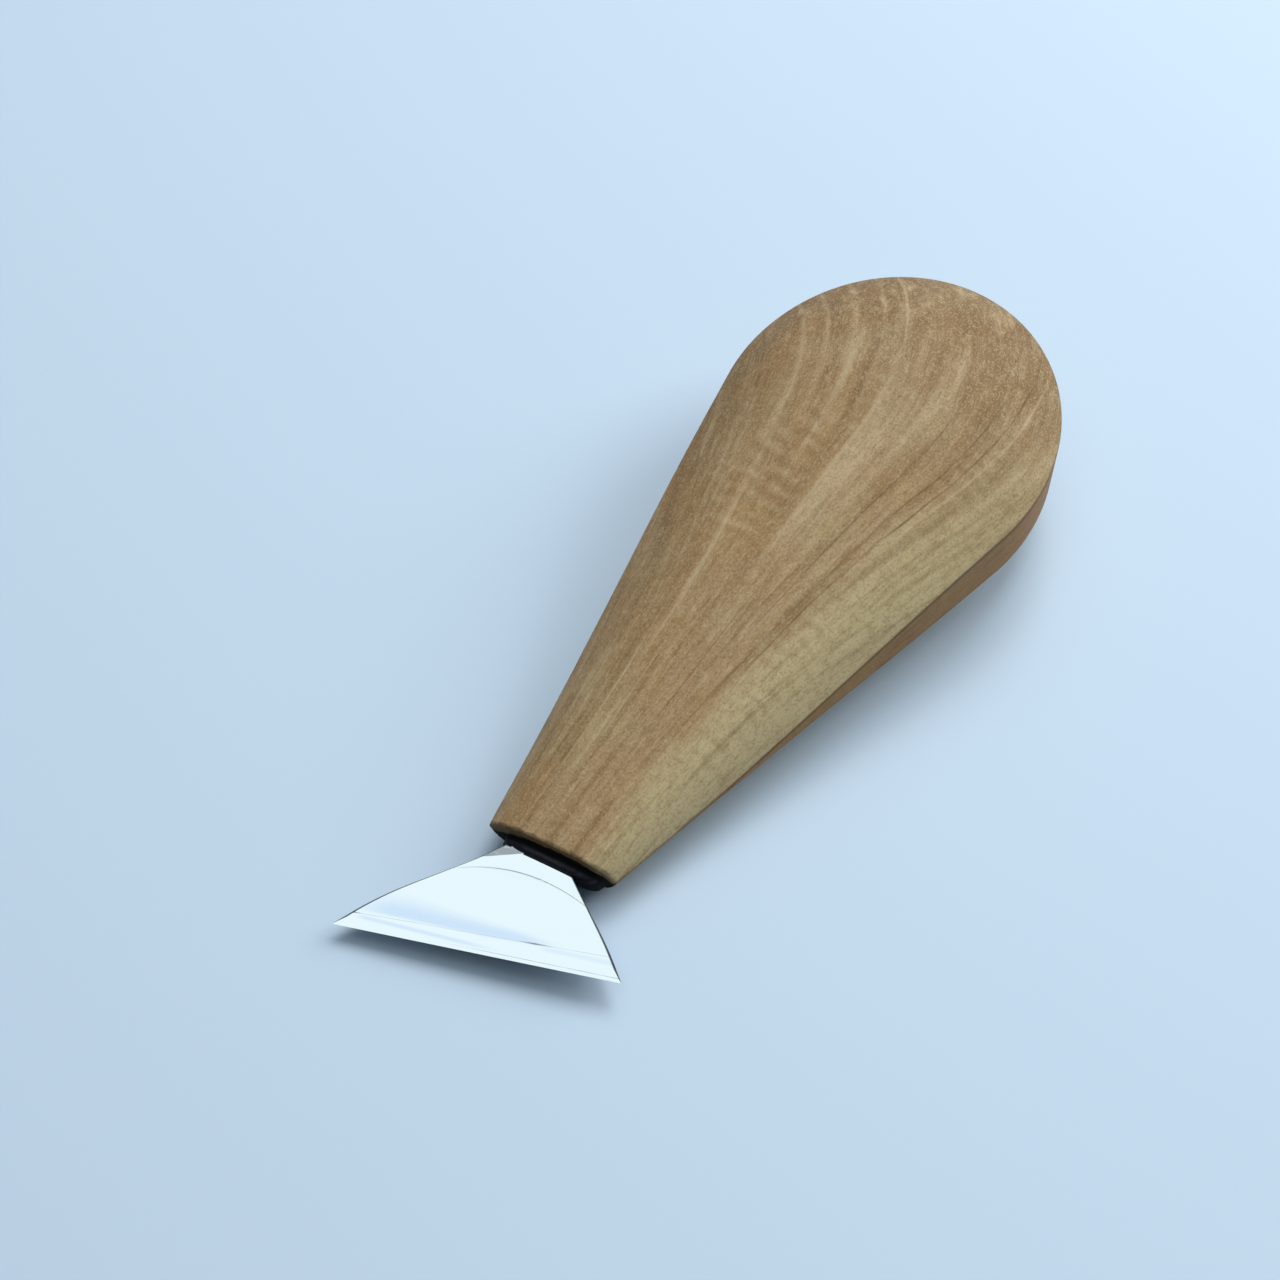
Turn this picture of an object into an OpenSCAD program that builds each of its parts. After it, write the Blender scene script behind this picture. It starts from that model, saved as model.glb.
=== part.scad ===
// Palm chip-carving knife: a teardrop hardwood handle, a short skew blade with a tang,
// and the black bedding that holds the tang in the handle.
// The knife lies on its belly. +Z is up, +X runs from the blade to the butt,
// and the origin is on the table under the middle of the knife.

/* [Handle] */
// Length of the handle along its axis, from the front face to the butt
handle_len = 93; // [80:0.5:115]
// Width of the handle at its widest place
handle_w = 42.8; // [34:0.2:50]
// Thickness of the handle at its thickest place
handle_t = 22; // [18:0.2:28]
// Length of the rounded butt, from the widest place to the end
butt_len = 24; // [18:0.5:32]
// Width of the front end
front_w = 16.6; // [15:0.2:20]
// Thickness of the front end
front_t = 6.8; // [6:0.1:9]
// Angle of the front face and of the blade's shoulder from square
front_skew = 10; // [0:0.5:15]
// Width of the worn chamfer around the front face
front_chamfer = 0.8; // [0.3:0.1:1.2]

/* [Handle surface] */
// Height of the upright side band around the butt
butt_band = 9; // [6:0.2:12]
// Height of the upright side band at the front end
front_band = 0.6; // [0.6:0.1:2]
// Distance from the front face at which the side band starts to grow
band_start = 8; // [0:1:20]
// Distance from the front face at which the side band reaches its full height
band_end = 70; // [40:1:80]
// Fullness of the crown across the butt, where 2 is a parabola
butt_fullness = 2.7; // [2:0.1:4]
// Fullness of the crown across the front end
front_fullness = 4; // [2:0.1:5]
// Bulge of the top and belly along the handle, where 1 is straight
belly_bulge = 1.25; // [1.1:0.05:1.6]
// Distance from the front face to the middle of the flat that the knife rests on
rest_x = 48; // [40:1:56]
// Depth of the flat sanded on the belly
rest_depth = 0.25; // [0.15:0.05:0.6]

/* [Blade] */
// Length of the cutting edge
edge_len = 34.7; // [24:0.1:40]
// Angle of the cutting edge from square
edge_skew = 24.3; // [10:0.1:35]
// Distance from the front face to the middle of the cutting edge
edge_reach = 14.4; // [12:0.1:20]
// Sideways shift of the middle of the cutting edge
edge_shift = -0.3; // [-2:0.1:2]
// Thickness of the blade at its shoulder and of the tang
blade_t = 2; // [1.6:0.1:3]
// Width of the blade at its shoulder
shoulder_w = 9; // [8:0.1:11]
// Sideways shift of the shoulder and the tang from the handle's axis
shoulder_shift = 0.7; // [-1:0.1:1.5]
// Gap between the shoulder and the handle's front face
shoulder_gap = 1.3; // [0.8:0.1:2]
// Swell of the long side of the blade
spine_swell = 0.4; // [0.1:0.1:1]
// Distance that the convex grind reaches back from the cutting edge
grind_w = 11.8; // [8:0.1:13]
// Width of the steeper bevel along the cutting edge
bevel_w = 2.3; // [1:0.1:4]
// Thickness that the convex grind would leave at the edge without the bevel
grind_edge_t = 0.44; // [0.2:0.02:0.8]

/* [Tang and bedding] */
// Length of the tang inside the handle
tang_len = 46; // [30:1:60]
// Width of the tang at the front face
tang_w = 7; // [5:0.1:8]
// Width of the tang at its end
tang_end_w = 5; // [3:0.1:5]
// Thickness of the bedding between the tang and the mortise
bed_gap = 0.5; // [0.2:0.1:0.8]
// Depth of bedding past the end of the tang
bed_end = 2; // [1:0.5:5]
// Width of the bedding that squeezed out on the front face
bead_w = 12.6; // [10:0.2:13]
// Height of the bedding that squeezed out on the front face
bead_h = 4.2; // [3.4:0.1:4.6]
// Radius of the corners of the squeezed-out bedding
bead_r = 1.6; // [0.5:0.1:1.6]

/* [Hidden] */

// Plan outline: straight sides that run tangent into the elliptical butt
butt_x = handle_len - butt_len;
start_x = -butt_x / butt_len;
start_y = front_w / handle_w;
tangent_a = atan2(start_y, start_x) - acos(1 / norm([start_x, start_y]));
tangent_x = butt_x + butt_len * cos(tangent_a);
tangent_w = handle_w / 2 * sin(tangent_a);

// Loft of the handle: stations along it, points across it
side_stations = 18;
butt_stations = 12;
points_across = 20;
last_butt_a = 4;
skew_run = 20;

// Lying pose, from the slope of the belly at the middle of the flat
rest_slope = (handle_t - front_t) / 2 * belly_bulge / butt_x * pow(1 - rest_x / butt_x, belly_bulge - 1);
lie_a = atan(rest_slope);
rest_z = rest_depth - half_t(rest_x);
lift_z = -(rest_x * sin(lie_a) + rest_z * cos(lie_a));

// Corners of the blade in plan
tip_left = [-edge_reach - edge_len / 2 * sin(edge_skew), edge_shift + edge_len / 2 * cos(edge_skew)];
tip_right = [-edge_reach + edge_len / 2 * sin(edge_skew), edge_shift - edge_len / 2 * cos(edge_skew)];
shoulder_left = on_front(shoulder_w / 2, -shoulder_gap);
shoulder_right = on_front(-shoulder_w / 2, -shoulder_gap);
spine_steps = 10;

// Length of the tang that lies within the blade, past the shoulder
tang_root = 1.5;

// Convex grind: an arc that reaches full thickness at grind_w
grind_rise = (blade_t - grind_edge_t) / 2;
grind_r = (grind_w * grind_w + grind_rise * grind_rise) / (2 * grind_rise);
grind_at_bevel = blade_t / 2 - grind_r + sqrt(grind_r * grind_r - pow(grind_w - bevel_w, 2));
bevel_slope = grind_at_bevel / bevel_w;

// Middle of the knife's box, under the origin
low_x = tip_left[0] * cos(lie_a);
butt_end_x = butt_x + butt_len * cos(last_butt_a);
high_x = butt_end_x * cos(lie_a) + butt_band / 2 * sin(lie_a);
mid_x = (low_x + high_x) / 2;
reach = 2 * handle_len;

function smooth(t) = let (s = max(0, min(1, t))) s * s * (3 - 2 * s);
function half_t(x) = handle_t / 2 - (handle_t - front_t) / 2 * pow(max(0, 1 - x / butt_x), belly_bulge);
function band_h(x) = front_band / 2 + (butt_band - front_band) / 2 * smooth((x - band_start) / (band_end - band_start));
function fullness(x) = front_fullness + (butt_fullness - front_fullness) * smooth(x / butt_x);
function butt_w(x) = handle_w / 2 * sqrt(max(0, 1 - pow((x - butt_x) / butt_len, 2)));
function half_w(x) = x > tangent_x ? butt_w(x) : front_w / 2 + (tangent_w - front_w / 2) * x / tangent_x;

// Share of the way from the handle's spine to its outline, 0 at the spine and 1 at the outline
function outward(x, s) = x < butt_x ? abs(s) : norm([(x - butt_x) / butt_len, s * half_w(x) / (handle_w / 2)]);
function crown_h(x, s, inset) =
    let (rise = half_t(x) - inset - band_h(x))
    band_h(x) + rise * (1 - pow(min(1, outward(x, s)), fullness(x)));
function skewed(x, y) = x - y * tan(front_skew) * max(0, 1 - x / skew_run);

// One ring of the loft: the top from left to right, then the belly from right to left
function ring(x, inset) =
    let (w = half_w(x) - inset, across = [for (i = [0 : points_across]) cos(180 * i / points_across)])
    concat(
        [for (s = across) [skewed(x, s * w), s * w, crown_h(x, s, inset)]],
        [for (s = across) [skewed(x, -s * w), -s * w, -crown_h(x, s, inset)]]
    );

// A point on the front face's line, across by y and out of the face by gap
function on_front(y, gap) = [
    gap * cos(front_skew) - (y + shoulder_shift) * sin(front_skew),
    (y + shoulder_shift) * cos(front_skew) + gap * sin(front_skew)
];

// Points of a shallow arc from p to q that swells to the left of the way
function swell(p, q, rise, steps) =
    let (out = [p[1] - q[1], q[0] - p[0]] / norm(q - p))
    [for (i = [0 : steps]) let (t = i / steps) p + (q - p) * t + out * (4 * rise * t * (1 - t))];

module lying() {
    translate([-mid_x, 0, lift_z])
        rotate([0, -lie_a, 0])
            children();
}

module handle_loft() {
    side_x = [for (i = [0 : side_stations]) front_chamfer + (butt_x - front_chamfer) * i / side_stations];
    turn = 90 - last_butt_a;
    butt_xs = [for (i = [1 : butt_stations]) butt_x + butt_len * sin(turn * i / butt_stations)];
    stations = concat(side_x, butt_xs);
    rings = concat([ring(0, front_chamfer)], [for (x = stations) ring(x, 0)]);
    n = 2 * (points_across + 1);
    last = len(rings) - 1;
    points = [for (r = rings) each r];
    walls = [
        for (k = [0 : last - 1])
            for (i = [0 : n - 1])
                let (a = k * n + i, b = k * n + (i + 1) % n)
                    each [[a, a + n, b + n], [a, b + n, b]]
    ];
    front_cap = [[for (i = [0 : n - 1]) i]];
    butt_cap = [[for (i = [n - 1 : -1 : 0]) last * n + i]];
    polyhedron(points, concat(walls, front_cap, butt_cap));
}

// Slot for the tang and its bedding, which starts well in front of the skew face
module mortise() {
    w = tang_w + 2 * bed_gap;
    t = blade_t + 2 * bed_gap;
    depth = tang_len + bed_end;
    translate([-front_w, shoulder_shift - w / 2, -t / 2])
        cube([front_w + depth, w, t]);
}

// Everything in front of the handle's front face
module before_front() {
    rotate([0, 0, front_skew])
        translate([-reach, -reach / 2, -reach / 2])
            cube([reach, reach, reach]);
}

module handle() {
    color("#b0916a")
        difference() {
            lying()
                difference() {
                    handle_loft();
                    mortise();
                }
            translate([-reach / 2, -reach / 2, -reach])
                cube([reach, reach, reach]);
        }
}

module grind_section() {
    arc_y = grind_r - blade_t / 2;
    intersection() {
        polygon([[0, 0], [reach, reach * bevel_slope], [reach, -reach * bevel_slope]]);
        union() {
            intersection() {
                translate([grind_w, -arc_y])
                    circle(r = grind_r, $fn = 180);
                translate([grind_w, arc_y])
                    circle(r = grind_r, $fn = 180);
            }
            translate([grind_w, -blade_t / 2])
                square([reach, blade_t]);
        }
    }
}

module blade_plan() {
    polygon(concat(swell(tip_left, shoulder_left, spine_swell, spine_steps), [shoulder_right, tip_right]));
}

module tang() {
    root_x = -shoulder_gap - tang_root;
    translate([0, 0, -blade_t / 2])
        linear_extrude(height = blade_t)
            polygon([
                [root_x, shoulder_shift + tang_w / 2],
                [root_x, shoulder_shift - tang_w / 2],
                [0, shoulder_shift - tang_w / 2],
                [tang_len, shoulder_shift - tang_end_w / 2],
                [tang_len, shoulder_shift + tang_end_w / 2],
                [0, shoulder_shift + tang_w / 2]
            ]);
}

module blade_body() {
    intersection() {
        translate([0, 0, -blade_t])
            linear_extrude(height = 2 * blade_t)
                blade_plan();
        translate([-edge_reach, edge_shift, 0])
            rotate([90, 0, edge_skew])
                linear_extrude(height = 2 * edge_len, center = true)
                    grind_section();
    }
    tang();
}

module blade() {
    color("#e8edf0")
        lying()
            blade_body();
}

// Outline of the squeezed-out bedding, with its height along x and its width along y
module bead_outline() {
    side_h = bead_h - 2 * bead_r;
    side_w = bead_w - 2 * bead_r;
    square([bead_h, side_w], center = true);
    square([side_h, bead_w], center = true);
    for (x = [-1, 1], y = [-1, 1])
        translate([x * side_h / 2, y * side_w / 2])
            circle(r = bead_r, $fn = 48);
}

// Bedding that squeezed out of the mortise and set between the front face and the shoulder
module bead() {
    rotate([0, -90, front_skew])
        translate([0, shoulder_shift, 0])
            linear_extrude(height = shoulder_gap)
                bead_outline();
}

module tang_bedding() {
    color("#15161a")
        lying()
            difference() {
                union() {
                    difference() {
                        mortise();
                        before_front();
                    }
                    bead();
                }
                tang();
            }
}

handle();
blade();
tang_bedding();
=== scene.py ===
"""A palm chip-carving knife lying on its belly on a pale floor.

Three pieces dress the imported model: the oiled wooden handle, the mirror-polished skew blade with its
hidden tang, and the black bedding that holds the tang in the handle.
Sizes are millimetres in the handle's own directions: u runs from the front end to the butt, v to the
side of the blade's long point, and n up through the thickness. Meshes are made in metres, in place.
"""

import math

import bmesh
import bpy
import numpy as np
from mathutils import Matrix, Vector


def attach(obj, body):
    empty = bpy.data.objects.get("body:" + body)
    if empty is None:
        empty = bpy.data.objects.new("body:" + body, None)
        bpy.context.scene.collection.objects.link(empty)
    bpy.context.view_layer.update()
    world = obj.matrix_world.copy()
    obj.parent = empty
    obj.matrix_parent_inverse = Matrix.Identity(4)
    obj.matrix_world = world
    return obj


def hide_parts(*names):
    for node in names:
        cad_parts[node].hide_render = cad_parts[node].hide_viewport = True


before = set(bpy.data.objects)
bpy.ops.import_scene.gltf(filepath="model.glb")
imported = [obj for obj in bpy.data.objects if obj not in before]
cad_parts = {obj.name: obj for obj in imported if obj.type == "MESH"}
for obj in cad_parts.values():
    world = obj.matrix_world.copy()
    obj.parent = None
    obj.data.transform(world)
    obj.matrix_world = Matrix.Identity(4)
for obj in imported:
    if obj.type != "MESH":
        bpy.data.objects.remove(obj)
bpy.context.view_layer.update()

MM = 0.001


def colour(red, green, blue):
    """An opaque colour."""
    return (red, green, blue, 1.0)


# How the knife lies: it rocks back until the belly takes its weight.
LIE = math.radians(5.8389)
LIFT = 4.102
MIDDLE = 35.7446

# Handle: the egg outline, its crown and the upright band round its side, as the inputs of its nodes.
FRONT_WIDTH = 16.6
FRONT_SKEW = math.radians(10)
HANDLE = {
    "Length": 93.0,
    "Width": 42.8,
    "Thickness": 22.0,
    "Butt Length": 24.0,
    "Front Width": FRONT_WIDTH,
    "Front Thickness": 6.8,
    "Front Skew": math.tan(FRONT_SKEW),
    "Skew Run": 20.0,
    "Front Rounding": 0.25,
    "Butt Band": 9.0,
    "Front Band": 0.6,
    "Band Start": 8.0,
    "Band End": 70.0,
    "Butt Fullness": 2.7,
    "Front Fullness": 4.0,
    "Front Belly Fullness": 9.0,
    "Belly Bulge": 1.25,
    "Arris Rounding": 0.30,
    "Hand Shaping": 0.07,
    "Left Lift": 0.9,
    "Lie": LIE,
    "Lift": LIFT,
    "Middle": MIDDLE,
}
# Marks of the rasp, splinters at the front end, and where the left arris stands higher.
RASP_SCALE = 0.07
SPLINTER_SCALE = 0.9
SPLINTER_RUN = 2.2
SPLINTER_LOSS = 2.2
SPLINTER_BACK = 0.25
LEFT_LIFT_GROWS = (4, 24)
LEFT_LIFT_ENDS = (44, 66)
LEFT_LIFT_FALL = 4
# The handle's grid: points along and across, the share of them where each stretch ends, how they close up.
HANDLE_STEPS = (261, 141)
FACE_STEPS = 0.03
RIM_STEPS = 0.09
SIDE_STEPS = 0.64
CROWN_STEPS = 0.80
BEND_STEPS = 0.91
CROWN_CLOSING = 1.4
MOST_OF_BAND = 0.8
SEAM = 0.002

# Blade: one straight skew edge, a long spine to the left point and a short right side.
EDGE_LENGTH = 34.7
EDGE_SKEW = math.radians(24.3)
LEFT_POINT = Vector((-21.535, 15.51))
SHOULDER_LEFT = Vector((-2.18, 4.90))
SHOULDER_RIGHT = Vector((-0.62, -3.97))
SPINE_BOW = (0.29, 0.25)
RIGHT_BOW = (0.16, 0.10)
BLADE_HALF = 1.0
EDGE_HALF = 0.012
HONED_BACK = 0.45
HONED_SLOPE = 0.23
BEVEL_BACK = (1.75, 2.67)
BEVEL_SLOPE = 0.19
NECK_ON_SPINE = 0.847
CORNER_ON_SHOULDER = 0.28
CORNER_ACROSS = 0.45
GRIND_FLATNESS = 0.34
BUFFED_ON_SIDES = (0.68, 0.685)
BUFFED_BOW = 3.8
BUFFED_FALL = 0.11
BUFFED_BLEND = (0.022, 0.055)
BUFFED_EASING = 0.0026
SIDE_ROUNDING = 0.20
SIDE_ROUNDING_MOST = 0.8
# Satin on the neck flat and the sides' rounding, painted dark for the dark reflection on the rounded sides.
NECK_SATIN_SHADE = 0.1
SATIN_SHADE_FADE = 0.5
# The blade's mesh: steps over a side's rounding, columns each side of the neck's corner, rows of strips.
ROUNDING_STEPS = (0, 0.08, 0.29, 0.62, 1, 1.4, 1.9)
COLUMNS = 45
HONED_ROWS = 4
BEVEL_ROWS = 11
GRIND_ROWS = 46
BLEND_ROWS = 6
BUFFED_ROWS = 12
NECK_ROWS = 8
# The tang, and the corners of a bar round it.
TANG_ROOT = -2.6
TANG_LENGTH = 46.0
TANG_WIDTH = 7.0
TANG_END_WIDTH = 5.0
TANG_HALF = 0.8
TANG_SHIFT = 0.7
BAR_CORNERS = ((1, 1), (-1, 1), (-1, -1), (1, -1))

# Bedding: a set pool of black resin over the front end, round the tang.
POOL_WIDTH = 14.4
POOL_HEIGHT = 4.4
POOL_RISE = 1.37
POOL_SINK = 0.75
POOL_LEFT_SHARE = 0.90
POOL_DROOP = 0.17
POOL_DROOP_FROM = 3.0
POOL_SQUARENESS = 0.55
POOL_UNEVEN = 0.05
POOL_LUMPS = 0.02
POOL_ROUNDING = 12
POOL_BACK = 0.6
POOL_AROUND = 96
POOL_RINGS = 24
BED_GAP = 0.5
BED_END = 2.0

# Points and slivers of a mesh that are closer than this are one.
DOUBLE = 0.0015
SLIVER = 0.0005

# Camera, read off the photograph's perspective: focal length in pixels of a 1280-pixel frame.
FRAME_PIXELS = 1280
FOCAL_PIXELS = 2000
SENSOR = 36.0
CAMERA_AIM = Vector((-3.92, 11.08, 0.0))
CAMERA_DISTANCE = 254.8
CAMERA_ELEVATION = math.radians(59.18)
CAMERA_HEADING = math.radians(37.41)

# Wood colours
TAN = colour(0.375, 0.245, 0.118)
BROWN = colour(0.255, 0.150, 0.063)
# Painted shade: the left edge darkened as if it turned away from the light.
LEFT_SHADE_BROWN = colour(0.190, 0.110, 0.045)
PALE = colour(0.560, 0.445, 0.275)
STRAW = colour(0.560, 0.465, 0.255)
AMBER = colour(0.420, 0.250, 0.100)
RUST = colour(0.330, 0.165, 0.062)
# Painted shade, multiplied over the upright side band to darken and warm it.
SIDE_SHADE_TINT = colour(0.73, 0.49, 0.30)
# Painted shade, multiplied over the butt to darken it.
BUTT_SHADE = colour(0.50, 0.49, 0.52)
LATE_WOOD = colour(0.110, 0.060, 0.025)
# Painted light: the scorched brown of the end face, made lighter than it is.
LIT_SCORCH = colour(0.500, 0.270, 0.085)
BURNT_RIM = colour(0.040, 0.026, 0.012)
# Char, with painted shadow on the front end's lower part.
CHAR_AND_SHADOW = colour(0.012, 0.009, 0.007)

# The board's figure. Growth layers fan out from the front and turn left at the butt; a layer is named by
# its place across the front end, in millimetres.
FAN = 0.0005
TURN_FROM = 62.0
TURN = 0.011
LAYER_LEAN = 0.10
RIPPLE = 2.8
# The layer where the painted shade along the left edge begins.
LEFT_SHADE_LAYER = 3.7
STRAW_LAYER = -4.5
# Single lines in it: layer, half width, where along the handle it starts and stops, strength.
DARK_LINES = (
    (-1.0, 0.16, 16, 40, 0.50),
    (-2.6, 0.16, 34, 74, 0.55),
    (-3.75, 0.20, 18, 80, 0.60),
    (-4.35, 0.22, 30, 92, 0.70),
    (1.9, 0.20, 40, 66, 0.30),
    (4.9, 0.25, 46, 84, 0.35),
)
PALE_LINES = (
    (3.5, 0.55, 24, 80, 0.48),
    (4.4, 0.22, 1, 30, 0.45),
    (2.6, 0.20, 2, 26, 0.40),
    (0.1, 0.45, 44, 92, 0.42),
    (0.8, 0.50, 70, 93, 0.26),
    (1.7, 0.65, 66, 93, 0.30),
    (2.7, 0.55, 68, 92, 0.24),
    (-4.75, 0.30, 52, 84, 0.50),
)
# Where ripple crosses the layers: middle along and across, half length, half width, strength.
RIPPLED = (
    (53, 6.0, 12, 5.0, 0.90),
    (64, -13.5, 12, 3.5, 0.55),
    (32, -9.0, 14, 3.0, 0.50),
)
# Textures over the ground: where each darkens, how strongly and to what, where it pales, how strongly.
FIGURE = {
    "streak": ((0.48, 0.30), 0.42, LATE_WOOD, (0.52, 0.70), 0.44),
    "thread": ((0.48, 0.28), 0.26, LATE_WOOD, (0.52, 0.72), 0.24),
    "mottle": ((0.50, 0.28), 0.48, BROWN, (0.52, 0.74), 0.37),
    "sand": ((0.50, 0.30), 0.52, BROWN, (0.50, 0.70), 0.42),
    "bars": ((0.0, 1.0), 0.45, BROWN, (0.0, -1.0), 0.25),
}
# Where along the handle its colours change, the painted shade on the left edge and the butt grows, the side
# turns to end grain, and the painted shadow under the side's arris starts.
STRAW_SHIFTS = (50, 90)
STRAW_DULLS = (50, 80)
LEFT_SHADE_STARTS = (14, 34)
LEFT_SHADE_DEEPENS = (42, 66)
STREAK_STARTS = (40, 52)
STREAK_STOPS = (60, 80)
BUTT_SHADE_RUN = (56, 90)
END_GRAIN = (72, 86)
ARRIS_SHADOW_RUN = (8, 24)
# The char on the front end, with painted shadow black over its lower part: how high it stands, where its
# middle is, how it falls off, how ragged it is.
CHAR_SHADOW_TOP = 2.5
CHAR_SHADOW_MIDDLE = -1
CHAR_SHADOW_FALL = 0.043
CHAR_SHADOW_RAGGED = 1.2

# Steel colours
BUFFED_STEEL = colour(0.64, 0.68, 0.68)
# Painted bluish reflection, behind the bevel and in streaks on it.
BLUISH_REFLECTION_STEEL = colour(0.49, 0.57, 0.66)
# Honing lines, painted darker for the dark reflection along the bevel's creases.
HONE_LINE_SHADE_STEEL = colour(0.16, 0.18, 0.20)
# Satin grind, painted dark for the dark reflection on the blade's rounded sides.
SATIN_SHADE_STEEL = colour(0.035, 0.040, 0.050)
# Short dark scuffs on the bevel's line, partly wear and partly painted dark reflection: where along the
# edge, and how far they reach.
HONE_SCUFFS = ((2.0, 1.3), (24.0, 2.2))
# Soft streaks of painted bluish reflection on the bevel: start and stop along the edge, how far back at
# each, half width, strength.
BEVEL_STREAKS = (
    (3.0, 20.0, 1.46, 0.76, 0.40, 0.80),
    (25.0, 38.0, 2.05, 1.90, 0.45, 0.50),
)
# The painted bluish reflection behind the bevel: where along the edge it starts, comes down to the bevel,
# narrows and stops.
HAZE_STARTS = (0.5, 7)
HAZE_MEETS_BEVEL = (6, 18)
HAZE_NARROWS = (9, 26)
HAZE_STOPS = (22, 28)
HONED_LINE_STARTS = (12, 20)

# Bedding and floor colours
RESIN = colour(0.010, 0.011, 0.020)
DUSTY_RESIN = colour(0.026, 0.027, 0.038)
DULL_RESIN = colour(0.002, 0.002, 0.003)
FLOOR_LOW = colour(0.515, 0.630, 0.745)
FLOOR_HIGH = colour(0.530, 0.645, 0.760)
FLOOR_HALF = 2.5

# The setting. The soft panels overhead are given by their slants from straight up, to the right and away.
ROOM = colour(0.08, 0.092, 0.105)
PANEL = colour(1.25, 1.38, 1.46)
PANEL_RIGHT = (-0.42, 1.30)
PANEL_AWAY = (0.00, 1.40)
PANEL_SOFT = (0.12, 0.05)
PANEL_GAP = (0.250, 0.306)
GAP_SOFT = 0.012
GAP_DARK = 0.72
CARD_RIGHT = (-0.55, -0.12)
CARD_AWAY = (-0.34, 0.06)
CARD_SOFT = (0.04, 0.03)
OVERHEAD = 0.1
LOWEST = 0.02
# Soft boxes: how far away, to the right and up in metres, their sides, and their power.
SOFT_BOXES = (
    ("back_box", (0.50, 0.20, 0.70), (0.40, 0.40), 4.2),
    ("right_box", (0.30, 0.60, 0.40), (0.40, 0.40), 3.3),
)


def handle_to_floor():
    """Matrix from handle millimetres to the knife lying on the floor, in metres."""
    tilt = Matrix.Rotation(-LIE, 4, "Y")
    place = Matrix.Translation(Vector((-MIDDLE, 0, LIFT)) * MM)
    return place @ tilt @ Matrix.Scale(MM, 4)


class Number:
    """A number in a node tree. Arithmetic on it adds Math nodes."""

    def __init__(self, tree, socket):
        self.tree = tree
        self.socket = socket

    def math(self, operation, *others):
        node = self.tree.nodes.new("ShaderNodeMath")
        node.operation = operation
        for socket, value in zip(node.inputs, (self, *others)):
            feed(self.tree, socket, value)
        return Number(self.tree, node.outputs[0])

    def __add__(self, other):
        return self.math("ADD", other)

    def __sub__(self, other):
        return self.math("SUBTRACT", other)

    def __mul__(self, other):
        return self.math("MULTIPLY", other)

    def __truediv__(self, other):
        return self.math("DIVIDE", other)

    def __pow__(self, other):
        return self.math("POWER", other)

    def __neg__(self):
        return self.math("MULTIPLY", -1)

    def __rsub__(self, other):
        return -self + other

    __radd__ = __add__
    __rmul__ = __mul__

    def at_least(self, other):
        return self.math("MAXIMUM", other)

    def at_most(self, other):
        return self.math("MINIMUM", other)

    def share(self, low, high):
        """How far the number has come from low to high, held between 0 and 1."""
        return ((self - low) / (high - low)).at_least(0).at_most(1)

    def ease(self, low, high):
        """The same with a soft start and stop."""
        step = self.share(low, high)
        return step * step * (3 - 2 * step)


def feed(tree, socket, value):
    """Puts a number, a socket or a plain value into a node's input."""
    if isinstance(value, Number):
        tree.links.new(value.socket, socket)
    elif isinstance(value, bpy.types.NodeSocket):
        tree.links.new(value, socket)
    else:
        socket.default_value = value


def node_with(tree, kind, settings=None, **inputs):
    """A node of one kind, its settings and its inputs filled by name."""
    node = tree.nodes.new(kind)
    for name, value in (settings or {}).items():
        setattr(node, name, value)
    for name, value in inputs.items():
        feed(tree, node.inputs[name.replace("_", " ")], value)
    return node


def parts_of(tree, vector):
    """The three numbers of a vector."""
    node = node_with(tree, "ShaderNodeSeparateXYZ", Vector=vector)
    return [Number(tree, socket) for socket in node.outputs]


def vector_of(tree, x, y, z):
    """A vector from three numbers."""
    return node_with(tree, "ShaderNodeCombineXYZ", X=x, Y=y, Z=z).outputs[0]


def noise(tree, vector, scale, detail=2.0, roughness=0.5, distortion=0.0):
    """Soft noise from 0 to 1, fixed by the place alone."""
    node = node_with(
        tree, "ShaderNodeTexNoise", {"noise_dimensions": "3D"},
        Vector=vector, Scale=scale, Detail=detail, Roughness=roughness, Distortion=distortion,
    )
    return Number(tree, node.outputs[0])


def mixed(tree, share, first, second, blend="MIX"):
    """Two colours mixed by a share."""
    node = node_with(tree, "ShaderNodeMix", {"data_type": "RGBA", "blend_type": blend})
    feed(tree, node.inputs["Factor"], share)
    feed(tree, node.inputs[6], first)
    feed(tree, node.inputs[7], second)
    return node.outputs[2]


# The handle


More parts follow.
